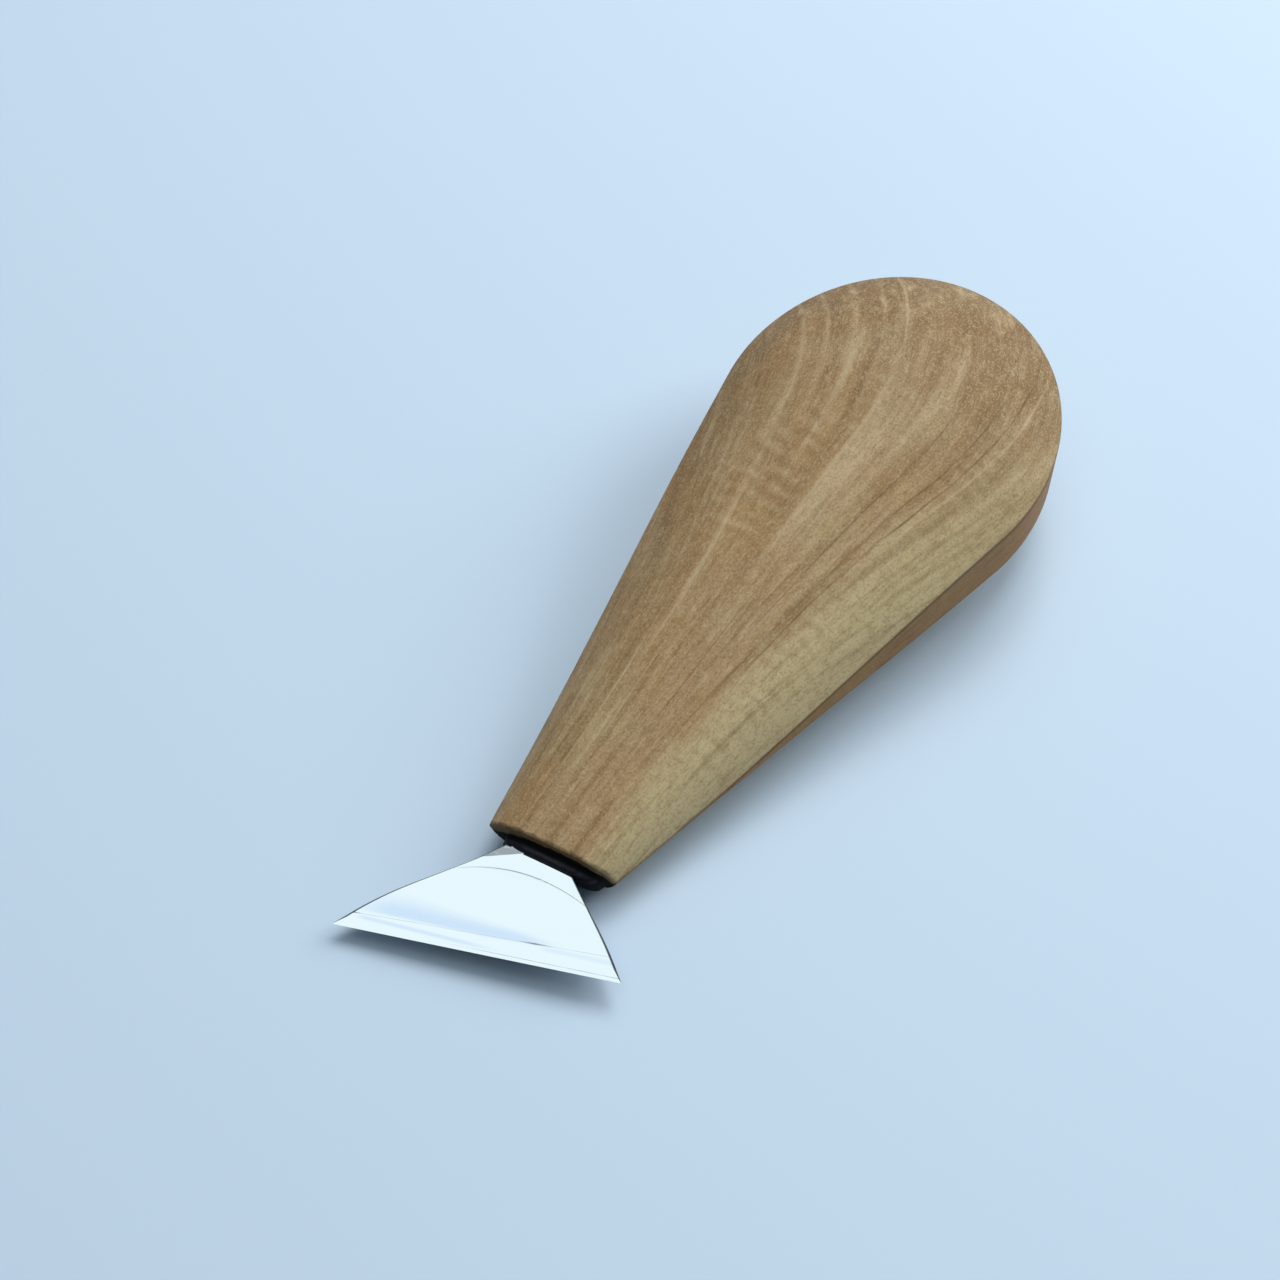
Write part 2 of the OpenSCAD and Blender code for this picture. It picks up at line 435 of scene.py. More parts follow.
def handle_tree():
    """Geometry nodes that raise the handle from a flat grid by the rule its shape follows."""
    tree = bpy.data.node_groups.new("handle_shape", "GeometryNodeTree")
    tree.interface.new_socket("Geometry", in_out="OUTPUT", socket_type="NodeSocketGeometry")
    names = list(HANDLE)
    for name in names:
        tree.interface.new_socket(name, in_out="INPUT", socket_type="NodeSocketFloat")
    for name in ("Steps Along", "Steps Across"):
        tree.interface.new_socket(name, in_out="INPUT", socket_type="NodeSocketInt")
    tree.interface.new_socket("Finish", in_out="INPUT", socket_type="NodeSocketMaterial")
    given = tree.nodes.new("NodeGroupInput").outputs
    size = {name: Number(tree, given[name]) for name in names}

    grid = node_with(
        tree, "GeometryNodeMeshGrid",
        Size_X=1.0, Size_Y=1.0, Vertices_X=given["Steps Along"], Vertices_Y=given["Steps Across"],
    ).outputs["Mesh"]
    half = shaped(tree, grid, half_handle(tree, size))
    mirrored = node_with(tree, "GeometryNodeTransform", Geometry=half, Scale=(1, -1, 1)).outputs[0]
    both = tree.nodes.new("GeometryNodeJoinGeometry")
    tree.links.new(half, both.inputs[0])
    tree.links.new(node_with(tree, "GeometryNodeFlipFaces", Mesh=mirrored).outputs[0], both.inputs[0])
    closed = node_with(
        tree, "GeometryNodeMergeByDistance", Geometry=both.outputs[0], Distance=SEAM,
    ).outputs[0]
    worked = shaped(tree, closed, hand_worked(tree, size))
    lying = shaped(tree, worked, laid_down(tree, size))
    soft = node_with(tree, "GeometryNodeSetShadeSmooth", Geometry=lying).outputs[0]
    real = node_with(tree, "GeometryNodeRealizeInstances", Geometry=soft).outputs[0]
    done = node_with(
        tree, "GeometryNodeSetMaterial", Geometry=real, Material=given["Finish"],
    ).outputs[0]
    tree.links.new(done, tree.nodes.new("NodeGroupOutput").inputs[0])
    return tree


def shaped(tree, geometry, position):
    """Geometry with its points moved to a position."""
    return node_with(tree, "GeometryNodeSetPosition", Geometry=geometry, Position=position).outputs[0]


def half_handle(tree, size):
    """Where each grid point goes on the left half: over the front, along the side, round the butt."""
    along, across, _ = parts_of(tree, tree.nodes.new("GeometryNodeInputPosition").outputs[0])
    along = along + 0.5
    across = across + 0.5
    butt_start = size["Length"] - size["Butt Length"]
    rounding = size["Front Rounding"]

    face = along.share(0, FACE_STEPS)
    rim = along.share(FACE_STEPS, RIM_STEPS) * (math.pi / 2)
    side = along.share(RIM_STEPS, SIDE_STEPS)
    butt = along.share(SIDE_STEPS, 1) * (math.pi / 2)
    u = rounding * (1 - rim.math("COSINE")) + (butt_start - rounding) * side
    inset = rounding * (1 - rim.math("SINE"))

    width = outline_width(size, u, butt_start) - inset
    reach = width.at_least(1)
    rise = crown_height(size, u) - inset
    band = half_band(size, u)
    over = 1 - (2 * across - 1).math("ABSOLUTE")
    up = (0.5 - across).math("SIGN")
    below = across.math("GREATER_THAN", 0.5)
    front_fullness = size["Front Fullness"] + (size["Front Belly Fullness"] - size["Front Fullness"]) * below
    fullness = size["Butt Fullness"] + (front_fullness - size["Butt Fullness"]) * (1 - u / butt_start) ** 2

    crown = 1 - (1 - over.share(0, CROWN_STEPS)) ** CROWN_CLOSING
    bend = over.share(CROWN_STEPS, BEND_STEPS)
    drop = over.share(BEND_STEPS, 1)
    soft = size["Arris Rounding"] / reach
    soft_drop = size["Arris Rounding"].at_most(band * MOST_OF_BAND)
    unbent = (1 - bend) * (1 - bend)
    outward = crown * (1 - soft) + soft * (1 - unbent)
    at_crown = band + (rise - band) * (1 - (crown * (1 - soft)) ** fullness)
    at_arris = band + (rise - band) * (1 - (1 - soft) ** fullness)
    height = at_crown - (1 - unbent) * at_arris + 2 * bend * (1 - bend) * band
    height = height + bend * bend * (band - soft_drop) * (1 - drop)

    x = u + size["Butt Length"] * butt.math("SINE") * outward
    y = width * butt.math("COSINE") * outward * face
    z = up * height * face
    return vector_of(tree, x, y, z)


def crown_height(size, u):
    """How high the crown stands over the handle's middle plane."""
    thin = (1 - u / (size["Length"] - size["Butt Length"])).at_least(0) ** size["Belly Bulge"]
    return size["Thickness"] / 2 - (size["Thickness"] - size["Front Thickness"]) / 2 * thin


def half_band(size, u):
    """Half the height of the upright band round the side, which grows towards the butt."""
    grown = u.ease(size["Band Start"], size["Band End"])
    return size["Front Band"] / 2 + (size["Butt Band"] - size["Front Band"]) / 2 * grown


def outline_width(size, u, butt_start):
    """Half width of the egg outline: straight sides that run into the butt's ellipse as a tangent."""
    start_x = butt_start / size["Butt Length"]
    start_y = size["Front Width"] / size["Width"]
    distance = (start_x * start_x + start_y * start_y).math("SQRT")
    tangent = start_y.math("ARCTAN2", -start_x) - (distance ** -1).math("ARCCOSINE")
    tangent_u = butt_start + size["Butt Length"] * tangent.math("COSINE")
    tangent_width = size["Width"] / 2 * tangent.math("SINE")
    straight = size["Front Width"] / 2 + (tangent_width - size["Front Width"] / 2) * u / tangent_u
    inside = (u - butt_start) / size["Butt Length"]
    curved = size["Width"] / 2 * (1 - inside * inside).at_least(0).math("SQRT")
    on_butt = u.math("GREATER_THAN", tangent_u)
    return straight + (curved - straight) * on_butt


def hand_worked(tree, size):
    """Skews the front end, keeps the left arris high, and leaves it all a little uneven from the rasp."""
    place = tree.nodes.new("GeometryNodeInputPosition").outputs[0]
    u, v, n = parts_of(tree, place)
    skewed = u - v * size["Front Skew"] * (1 - u / size["Skew Run"]).at_least(0)
    broad = noise(tree, place, scale=RASP_SCALE, detail=1.0)
    ragged = noise(tree, place, scale=SPLINTER_SCALE, detail=3.0) * (1 - u.share(0, SPLINTER_RUN))
    loss = size["Hand Shaping"] * (broad + SPLINTER_LOSS * ragged)
    keep_v = 1 - loss / (size["Width"] / 2)
    keep_n = 1 - loss / (size["Thickness"] / 2)
    keep_u = ragged * SPLINTER_BACK - loss * u.ease(size["Length"] - size["Butt Length"], size["Length"])
    edge = (v / outline_width(size, u, size["Length"] - size["Butt Length"])).at_least(0).at_most(1)
    lift = size["Left Lift"] * edge ** LEFT_LIFT_FALL
    lift = lift * u.ease(*LEFT_LIFT_GROWS) * (1 - u.ease(*LEFT_LIFT_ENDS))
    lift = lift * (n / half_band(size, u)).share(0, 1)
    return vector_of(tree, skewed + keep_u, v * keep_v, n * keep_n + lift)


def laid_down(tree, size):
    """Tips the handle on to its belly, in metres, and takes the belly's flat off at the floor."""
    u, v, n = parts_of(tree, tree.nodes.new("GeometryNodeInputPosition").outputs[0])
    lean = size["Lie"].math("SINE")
    level = size["Lie"].math("COSINE")
    x = u * level - n * lean - size["Middle"]
    z = u * lean + n * level + size["Lift"]
    return vector_of(tree, x * MM, v * MM, z.at_least(0) * MM)


def make_handle(finish):
    """The wooden handle, as a mesh of its own."""
    carrier = bpy.data.objects.new("handle_rule", bpy.data.meshes.new("handle_rule"))
    bpy.context.scene.collection.objects.link(carrier)
    tree = handle_tree()
    modifier = carrier.modifiers.new("shape", "NODES")
    modifier.node_group = tree
    along, across = HANDLE_STEPS
    values = {**HANDLE, "Steps Along": along, "Steps Across": across, "Finish": finish}
    for socket in tree.interface.items_tree:
        if socket.in_out == "INPUT":
            modifier[socket.identifier] = values[socket.name]
    evaluated = carrier.evaluated_get(bpy.context.evaluated_depsgraph_get())
    mesh = bpy.data.meshes.new_from_object(evaluated)
    carrier.modifiers.remove(modifier)
    bpy.data.objects.remove(carrier)
    return finished("wooden_handle", mesh, finish)


def finished(name, mesh, finish):
    """A piece from its mesh: doubles merged, faces outwards, one finish."""
    shell = bmesh.new()
    shell.from_mesh(mesh)
    bmesh.ops.remove_doubles(shell, verts=shell.verts, dist=DOUBLE * MM)
    bmesh.ops.dissolve_degenerate(shell, edges=shell.edges, dist=SLIVER * MM)
    bmesh.ops.recalc_face_normals(shell, faces=shell.faces)
    for face in shell.faces:
        face.smooth = True
    shell.to_mesh(mesh)
    shell.free()
    mesh.materials.clear()
    mesh.materials.append(finish)
    piece = bpy.data.objects.new(name, mesh)
    mesh.name = name
    bpy.context.scene.collection.objects.link(piece)
    return piece


# The blade


def edge_to_handle(along, back):
    """Handle place of a point given along the edge from the left point and back from the edge."""
    u = LEFT_POINT.x + along * math.sin(EDGE_SKEW) + back * math.cos(EDGE_SKEW)
    v = LEFT_POINT.y - along * math.cos(EDGE_SKEW) + back * math.sin(EDGE_SKEW)
    return u, v


def handle_to_edge(point):
    """The same point along the edge and back from it."""
    way = point - LEFT_POINT
    along = way.x * math.sin(EDGE_SKEW) - way.y * math.cos(EDGE_SKEW)
    back = way.x * math.cos(EDGE_SKEW) + way.y * math.sin(EDGE_SKEW)
    return np.array((along, back))


def line(start, end):
    """A straight line as a function of the share of its length."""
    return lambda share: start + (end - start) * share


def bowed_side(start, end, bow, turn):
    """A blade side that swells past the point and draws in at the neck."""
    way = end - start
    outward = turn * np.array((-way[1], way[0])) / np.hypot(*way)

    def place(share):
        swell = bow[0] * math.sin(math.pi * share) + bow[1] * math.sin(2 * math.pi * share)
        return start + way * share + outward * swell

    return place


def part_of(curve, start, end):
    """A stretch of a curve, from one share of it to another."""
    return lambda share: curve(start + (end - start) * share)


def cornered(first, corner, last):
    """A line with one corner."""

    def place(share):
        if share < CORNER_ACROSS:
            return first + (corner - first) * share / CORNER_ACROSS
        return corner + (last - corner) * (share - CORNER_ACROSS) / (1 - CORNER_ACROSS)

    return place


def fitted(low, high, left, right, across, up):
    """A point of the sheet stretched between four lines."""
    ends = (1 - across) * ((1 - up) * low(0) + up * high(0)) + across * ((1 - up) * low(1) + up * high(1))
    rows = (1 - up) * low(across) + up * high(across)
    sides = (1 - across) * left(up) + across * right(up)
    return rows + sides - ends


def arched(first, last, rise):
    """A smooth arch between two points, pulled back from the edge by a rise at its middle."""
    pull = (first + last) / 2 + np.array((0.0, rise))
    return lambda share: first * (1 - share) ** 2 + pull * 2 * share * (1 - share) + last * share ** 2


def blade_strips():
    """The face from the edge to the shoulder: honed edge, bevel, convex grind, buffed band and neck flat.

    Each strip is (low line, high line, left line, right line, half thickness, shares of its rows)."""
    top_l = handle_to_edge(SHOULDER_LEFT)
    top_r = handle_to_edge(SHOULDER_RIGHT)
    spine = bowed_side(np.zeros(2), top_l, SPINE_BOW, 1)
    right = bowed_side(np.array((EDGE_LENGTH, 0.0)), top_r, RIGHT_BOW, -1)
    corner = line(top_l, top_r)(CORNER_ON_SHOULDER)

    left_at = [0, HONED_BACK / top_l[1], BEVEL_BACK[0] / top_l[1], BUFFED_ON_SIDES[0], NECK_ON_SPINE, 1]
    right_at = [0, HONED_BACK / top_r[1], BEVEL_BACK[1] / top_r[1], BUFFED_ON_SIDES[1], 1, 1]
    lines = [line(spine(a), right(b)) for a, b in zip(left_at[:3], right_at[:3])]
    lines.append(arched(spine(left_at[3]), right(right_at[3]), BUFFED_BOW))
    lines.append(cornered(spine(NECK_ON_SPINE), corner, top_r))
    lines.append(cornered(top_l, corner, top_r))

    halves = (honed_half, bevel_half, grind_half, buffed_half, neck_half)
    before, after = BUFFED_BLEND
    grind = [*np.linspace(0, 1 - before, GRIND_ROWS)[:-1], *np.linspace(1 - before, 1, BLEND_ROWS)]
    buffed = [*np.linspace(0, after, BLEND_ROWS)[:-1], *np.linspace(after, 1, BUFFED_ROWS)]
    honed, bevel, neck = (np.linspace(0, 1, count) for count in (HONED_ROWS, BEVEL_ROWS, NECK_ROWS))
    rows = (honed, bevel, grind, buffed, neck)
    strips = []
    for k in range(len(halves)):
        left_part = part_of(spine, left_at[k], left_at[k + 1])
        right_part = part_of(right, right_at[k], right_at[k + 1])
        if halves[k] is neck_half:
            left_part = line(lines[k](0), lines[k + 1](0))
        strips.append((lines[k], lines[k + 1], left_part, right_part, halves[k], rows[k]))
    return strips


def honed_half(across, up):
    """The honed edge, which is the same all along."""
    return EDGE_HALF + HONED_SLOPE * HONED_BACK * up


def bevel_half(across, up):
    """A plane bevel, so it is thicker where it is wider."""
    back = BEVEL_BACK[0] + (BEVEL_BACK[1] - BEVEL_BACK[0]) * across
    return honed_half(across, 1) + BEVEL_SLOPE * (back - HONED_BACK) * up


def grind_half(across, up):
    """A convex grind up to full thickness."""
    start = bevel_half(across, 1)
    belly = 1 - (1 - up) ** 2
    rise = GRIND_FLATNESS * up + (1 - GRIND_FLATNESS) * belly
    return start + (BLADE_HALF - start) * rise - buffed_over((1 - up) / BUFFED_BLEND[0])


def buffed_half(across, up):
    """The band behind the grind, which the buffing wheel let fall a little."""
    return BLADE_HALF - BUFFED_FALL * up - buffed_over(up / BUFFED_BLEND[1])


def buffed_over(distance):
    """How much the line between grind and buffed band is rounded off."""
    return BUFFED_EASING * max(0, 1 - distance) ** 2


def neck_half(across, up):
    """The neck flat, which is level."""
    return BLADE_HALF - BUFFED_FALL


def row_steps(length, rounding):
    """Places across a row as (share, drop, satin and painted shade), with close steps where the sides round
    over.
    """
    near = []
    for step in ROUNDING_STEPS:
        inside = min(step, 1)
        drop = rounding * (1 - math.sqrt(1 - (1 - inside) ** 2))
        near.append((step * rounding / length, drop, min(1, (ROUNDING_STEPS[-1] - step) / SATIN_SHADE_FADE)))
    inner = [
        *np.linspace(near[-1][0], CORNER_ACROSS, COLUMNS + 1)[1:],
        *np.linspace(CORNER_ACROSS, 1 - near[-1][0], COLUMNS + 1)[1:-1],
    ]
    far = [(1 - share, drop, satin_shade) for share, drop, satin_shade in reversed(near)]
    return near + [(share, 0, 0) for share in inner] + far


def blade_face():
    """Rows of (u, v, half thickness, satin and painted shade) points over one face, and which rows are
    creases.
    """
    rows = []
    creases = []
    for *strip, half, shares in blade_strips():
        if half is not buffed_half:
            creases.append(len(rows))
        flat = 1.0 if half is neck_half else 0.0
        for up in shares if flat else shares[:-1]:
            rows.append(face_row(*strip, half, up, flat * min(NECK_SATIN_SHADE, up)))
    return rows, creases


def face_row(low, high, left, right, half, up, satin_shade):
    """One row of points. The neck flat's rows meet at its corner, so all take the steps of its first row."""
    measured = 0 if half is neck_half else up
    ends = [fitted(low, high, left, right, across, measured) for across in (0, 1)]
    rounding = min(SIDE_ROUNDING, SIDE_ROUNDING_MOST * half(0.5, up))
    row = []
    for share, drop, side_satin_shade in row_steps(np.hypot(*(ends[1] - ends[0])), rounding):
        along, back = fitted(low, high, left, right, share, up)
        row.append((*edge_to_handle(along, back), half(share, up) - drop, max(satin_shade, side_satin_shade)))
    return row


def sheet_faces(shell, grid, turned):
    """Fills a grid of vertices with four-sided faces."""
    for low, high in zip(grid, grid[1:]):
        for a, b, c, d in zip(low, low[1:], high[1:], high):
            shell.faces.new((a, d, c, b) if turned else (a, b, c, d))


def borders(grid):
    """The first and last row of a grid of vertices, and its first and last column."""
    return grid[0], grid[-1], [row[0] for row in grid], [row[-1] for row in grid]


def make_blade(finish):
    """The skew blade: two faces joined round their borders, and the tang."""
    rows, creases = blade_face()
    place = handle_to_floor()
    shell = bmesh.new()
    satin_shade = shell.verts.layers.float.new("satin_shade")
    sides = []
    for up in (1, -1):
        grid = [[shell.verts.new(place @ Vector((u, v, up * n))) for u, v, n, _ in row] for row in rows]
        for verts, row in zip(grid, rows):
            for vert, point in zip(verts, row):
                vert[satin_shade] = point[3]
        sheet_faces(shell, grid, up < 0)
        sides.append(grid)
    for pair in zip(borders(sides[0]), borders(sides[1])):
        sheet_faces(shell, pair, False)
    mark_creases(shell, sides, creases)
    tang = ((TANG_ROOT, TANG_WIDTH), (0.0, TANG_WIDTH), (TANG_LENGTH, TANG_END_WIDTH))
    add_bar(shell, place, [(u, width / 2, TANG_HALF) for u, width in tang], True)
    mesh = bpy.data.meshes.new("skew_blade")
    shell.to_mesh(mesh)
    shell.free()
    return finished("skew_blade", mesh, finish)


def mark_creases(shell, sides, creases):
    """Keeps the ground lines and the edge crisp."""
    for grid in sides:
        for row in [grid[k] for k in creases] + [grid[-1]]:
            for a, b in zip(row, row[1:]):
                edge = shell.edges.get((a, b))
                if edge:
                    edge.smooth = False


def add_bar(shell, place, sections, crisp):
    """A closed bar through sections of (u, half width, half thickness), for the tang and its fill."""
    rings = []
    for u, half_v, half_n in sections:
        ring = [Vector((u, TANG_SHIFT + a * half_v, b * half_n)) for a, b in BAR_CORNERS]
        rings.append([shell.verts.new(place @ point) for point in ring])
    for first, second in zip(rings, rings[1:]):
        for i in range(4):
            j = (i + 1) % 4
            wall = shell.faces.new((first[i], second[i], second[j], first[j]))
            for edge in wall.edges:
                edge.smooth = not crisp
    shell.faces.new(rings[0])
    shell.faces.new(rings[-1][::-1])


# The bedding


def make_bedding(finish):
    """A slumped pool of resin on the front end, and the fill round the tang behind it."""
    place = handle_to_floor()
    shell = bmesh.new()
    angles = [2 * math.pi * i / POOL_AROUND for i in range(POOL_AROUND)]
    rings = [[pool_point(angle, k / POOL_RINGS) for angle in angles] for k in range(POOL_RINGS + 1)]
    rings.append([point + Vector((POOL_BACK, 0, 0)) for point in rings[-1]])
    rings = [[shell.verts.new(place @ point) for point in ring] for ring in rings]
    for inner, outer in zip(rings, rings[1:]):
        for i in range(POOL_AROUND):
            j = (i + 1) % POOL_AROUND
            shell.faces.new((inner[i], inner[j], outer[j], outer[i]))
    shell.faces.new(rings[-1])
    start = FRONT_WIDTH / 2 * math.tan(FRONT_SKEW)
    fill = (TANG_WIDTH / 2 + BED_GAP, BLADE_HALF + BED_GAP)
    add_bar(shell, place, [(start, *fill), (TANG_LENGTH + BED_END, *fill)], False)
    mesh = bpy.data.meshes.new("tang_bedding_pool")
    shell.to_mesh(mesh)
    shell.free()
    return finished("tang_bedding_pool", mesh, finish)


def pool_point(angle, share):
    """A point of the pool: an uneven rounded outline that swells towards the blade's shoulder."""
    across = math.copysign(abs(math.cos(angle)) ** POOL_SQUARENESS, math.cos(angle))
    up = math.copysign(abs(math.sin(angle)) ** POOL_SQUARENESS, math.sin(angle))
    uneven = 1 - POOL_UNEVEN * (1 + math.sin(3 * angle + 1) * 0.6 + math.sin(7 * angle) * 0.4)
    v = share * uneven * across * POOL_WIDTH / 2 * (POOL_LEFT_SHARE if across > 0 else 1)
    droop = POOL_DROOP * max(0, v - POOL_DROOP_FROM) * max(0, up)
    n = share * uneven * up * POOL_HEIGHT / 2 - POOL_SINK - droop
    swell = (1 - share ** POOL_ROUNDING) ** 0.5
    lumps = 1 - POOL_LUMPS * (1 + math.sin(2.1 * v + 0.6) * math.cos(1.7 * n))
    out = POOL_RISE * swell * lumps
    return Vector((-v * math.tan(FRONT_SKEW) - out, v, n))


# Finishes


def new_finish(name):
    """A material with its shader, and its node tree."""
    finish = bpy.data.materials.new(name)
    finish.use_nodes = True
    tree = finish.node_tree
    return finish, tree, tree.nodes["Principled BSDF"]


def turned_place(tree, turn):
    """Object coordinates turned into millimetres of the handle, or of the blade's edge."""
    seen = node_with(tree, "ShaderNodeTexCoord").outputs["Object"]
    matrix = turn.inverted()
    mapping = node_with(tree, "ShaderNodeMapping", {"vector_type": "POINT"}, Vector=seen)
    mapping.inputs["Location"].default_value = matrix.to_translation()
    mapping.inputs["Rotation"].default_value = matrix.to_euler("XYZ")
    mapping.inputs["Scale"].default_value = matrix.to_scale()
    return mapping.outputs[0]


def edge_to_floor():
    """Matrix from millimetres back from the edge, and along it, to the lying knife."""
    turn = Matrix.Rotation(EDGE_SKEW, 4, "Z")
    return handle_to_floor() @ Matrix.Translation(LEFT_POINT.to_3d()) @ turn


def pulled(tree, vector, u, v, n):
    """A place pulled long in some directions, for streaks."""
    node = tree.nodes.new("ShaderNodeVectorMath")
    node.operation = "MULTIPLY"
    feed(tree, node.inputs[0], vector)
    node.inputs[1].default_value = (u, v, n)
    return node.outputs[0]


def relief(tree, height, distance):
    """A bump from a height, in millimetres of relief."""
    node = node_with(tree, "ShaderNodeBump", Height=height, Strength=1.0, Distance=distance * MM)
    return node.outputs[0]


def smudge_group():
    """Faint handling smudges, used by every finish: a value round 0 that shifts the gloss."""
    tree = bpy.data.node_groups.new("handling_smudges", "ShaderNodeTree")
    for name, kind in (("Place", "Vector"), ("Size", "Float"), ("Amount", "Float")):
        tree.interface.new_socket(name, in_out="INPUT", socket_type="NodeSocket" + kind)
    tree.interface.new_socket("Shift", in_out="OUTPUT", socket_type="NodeSocketFloat")
    given = tree.nodes.new("NodeGroupInput").outputs
    scale = Number(tree, given["Size"]) ** -1
    broad = noise(tree, given["Place"], scale=scale, detail=3.0, roughness=0.55, distortion=0.6)
    fine = noise(tree, given["Place"], scale=scale * 7)
    shift = (broad * 0.75 + fine * 0.25 - 0.5) * Number(tree, given["Amount"])
    tree.links.new(shift.socket, tree.nodes.new("NodeGroupOutput").inputs["Shift"])
    return tree


def smudges(tree, group, place, size, amount):
    """The shift of the gloss from smudges of one size."""
    given = {"Place": place, "Size": size, "Amount": amount}
    node = node_with(tree, "ShaderNodeGroup", {"node_tree": group}, **given)
    return Number(tree, node.outputs["Shift"])


def layer_place(tree, place):
    """The growth layer at a place, and how far the layers have fanned out there."""
    u, v, n = parts_of(tree, place)
    fan = 1 + FAN * u * u
    turn = (u - TURN_FROM).at_least(0)
    wander = noise(tree, pulled(tree, place, 0.10, 1, 1), scale=0.35) - 0.5
    layer = (v - TURN * turn * turn + wander * 0.9) / fan
    return layer + (n - crown_height(HANDLE, u)) * LAYER_LEAN, fan


def grain_line(u, layer, fan, at, half_width, start, stop):
    """One fine line that keeps to its layer, fading in and out along the handle."""
    near = 1 - ((layer - at) * fan / half_width).math("ABSOLUTE").at_most(1)
    return near * u.ease(start - 6, start + 6) * (1 - u.ease(stop - 8, stop + 8))


def side_shade_share(u, n):
    """1 on the upright side, which gets a painted shade; below it this fades out over the belly."""
    band = half_band(HANDLE, u)
    return (n + band).ease(-5.0, 0.3) * (1 - (n - band).ease(-0.25, 0.1))


def wood_ground(tree, place, layer, fan, side):
    """The broad colours: tan heart, straw right side, a pale streak and rusty spots, and painted shade on
    the left edge and over the butt.
    """
    u, _, n = parts_of(tree, place)
    sway = (noise(tree, pulled(tree, place, 0.25, 1, 1), scale=0.32, detail=3.0, roughness=0.6) - 0.5) / fan
    broad = noise(tree, vector_of(tree, u * 0.03, layer * 0.9, n * 0.05), scale=1.0)
    warm = noise(tree, pulled(tree, place, 0.6, 1, 1), scale=0.13)
    ground = mixed(tree, broad.share(0.30, 0.62), BROWN, TAN)
    ground = mixed(tree, warm.share(0.50, 0.66) * 0.35, ground, AMBER)
    ground = mixed(tree, warm.share(0.50, 0.34) * 0.25, ground, STRAW)

    straw = 1 - (layer + sway * 5 + u.ease(*STRAW_SHIFTS) * 0.6 - STRAW_LAYER).ease(-1.9, 1.5)
    ground = mixed(tree, straw * (0.90 - u.ease(*STRAW_DULLS) * 0.45), ground, STRAW)
    # Painted shade: a dark band and a darker edge along the left side, deepening towards the butt.
    left_shade = (layer + sway * 2 - LEFT_SHADE_LAYER).ease(-0.25, 0.30) * u.ease(*LEFT_SHADE_STARTS)
    ground = mixed(tree, left_shade * 0.32, ground, BROWN)
    edge = (layer - LEFT_SHADE_LAYER).ease(0.3, 2.0) * (0.08 + u.ease(*LEFT_SHADE_DEEPENS) * 0.64)
    ground = mixed(tree, edge, ground, LEFT_SHADE_BROWN)
    streak = (layer + sway * 2).ease(-1.9, -0.4) * (1 - layer.ease(0.0, 0.25))
    streak = streak * u.ease(*STREAK_STARTS) * (1 - u.ease(*STREAK_STOPS))
    ground = mixed(tree, streak * 0.55, ground, PALE)
    # Painted shade that darkens the butt, but not the upright side.
    ground = mixed(tree, u.ease(*BUTT_SHADE_RUN) * (1 - side), ground, BUTT_SHADE, "MULTIPLY")
    rust = noise(tree, pulled(tree, place, 0.5, 1, 1), scale=0.22, detail=3.0).ease(0.55, 0.75)
    return mixed(tree, rust * 0.35, ground, RUST)


def ripple_share(u, v):
    """How strongly the ripple shows at a place."""
    shown = 0.0
    for middle_u, middle_v, half_u, half_v, strength in RIPPLED:
        off_u = (u - middle_u) / half_u
        off_v = (v - middle_v) / half_v
        shown = (1 - (off_u * off_u + off_v * off_v).ease(0.2, 1.3)) * strength + shown
    return shown


def wood_figure(tree, place, layer, fan, ground):
    """Streaks, threads and ripple bars over the ground, and the board's single lines."""
    u, v, n = parts_of(tree, place)
    along = vector_of(tree, u * 0.022, layer, n * 0.3)
    close = vector_of(tree, u * 0.040, layer * fan ** 0.5, n * 0.5)
    streak = noise(tree, along, scale=1.4, detail=4.0, roughness=0.60)
    thread = noise(tree, close, scale=2.6, detail=3.0, roughness=0.65)
    mottle = noise(tree, pulled(tree, place, 0.6, 1, 1), scale=0.9, detail=5.0, roughness=0.75)
    sand = noise(tree, pulled(tree, place, 0.8, 1, 1), scale=3.8, roughness=0.7)
    bend = noise(tree, pulled(tree, place, 0.5, 1, 1), scale=0.25)
    patchy = noise(tree, place, scale=0.35, detail=1.0).share(0.35, 0.60)
    bars = (u * RIPPLE + bend * 9).math("SINE") * (0.10 + ripple_share(u, v) * patchy)

    textures = {"streak": streak, "thread": thread, "mottle": mottle, "sand": sand, "bars": bars}
    body = ground
    for name, (dark_at, dark_share, dark, pale_at, pale_share) in FIGURE.items():
        body = mixed(tree, textures[name].share(*dark_at) * dark_share, body, dark)
        body = mixed(tree, textures[name].share(*pale_at) * pale_share, body, PALE)
    broken = noise(tree, along, scale=3.0).share(0.30, 0.55)
    for *spot, strength in PALE_LINES:
        body = mixed(tree, grain_line(u, layer, fan, *spot) * broken * strength, body, PALE)
    for *spot, strength in DARK_LINES:
        body = mixed(tree, grain_line(u, layer, fan, *spot) * broken * strength, body, LATE_WOOD)
    return body, close, thread


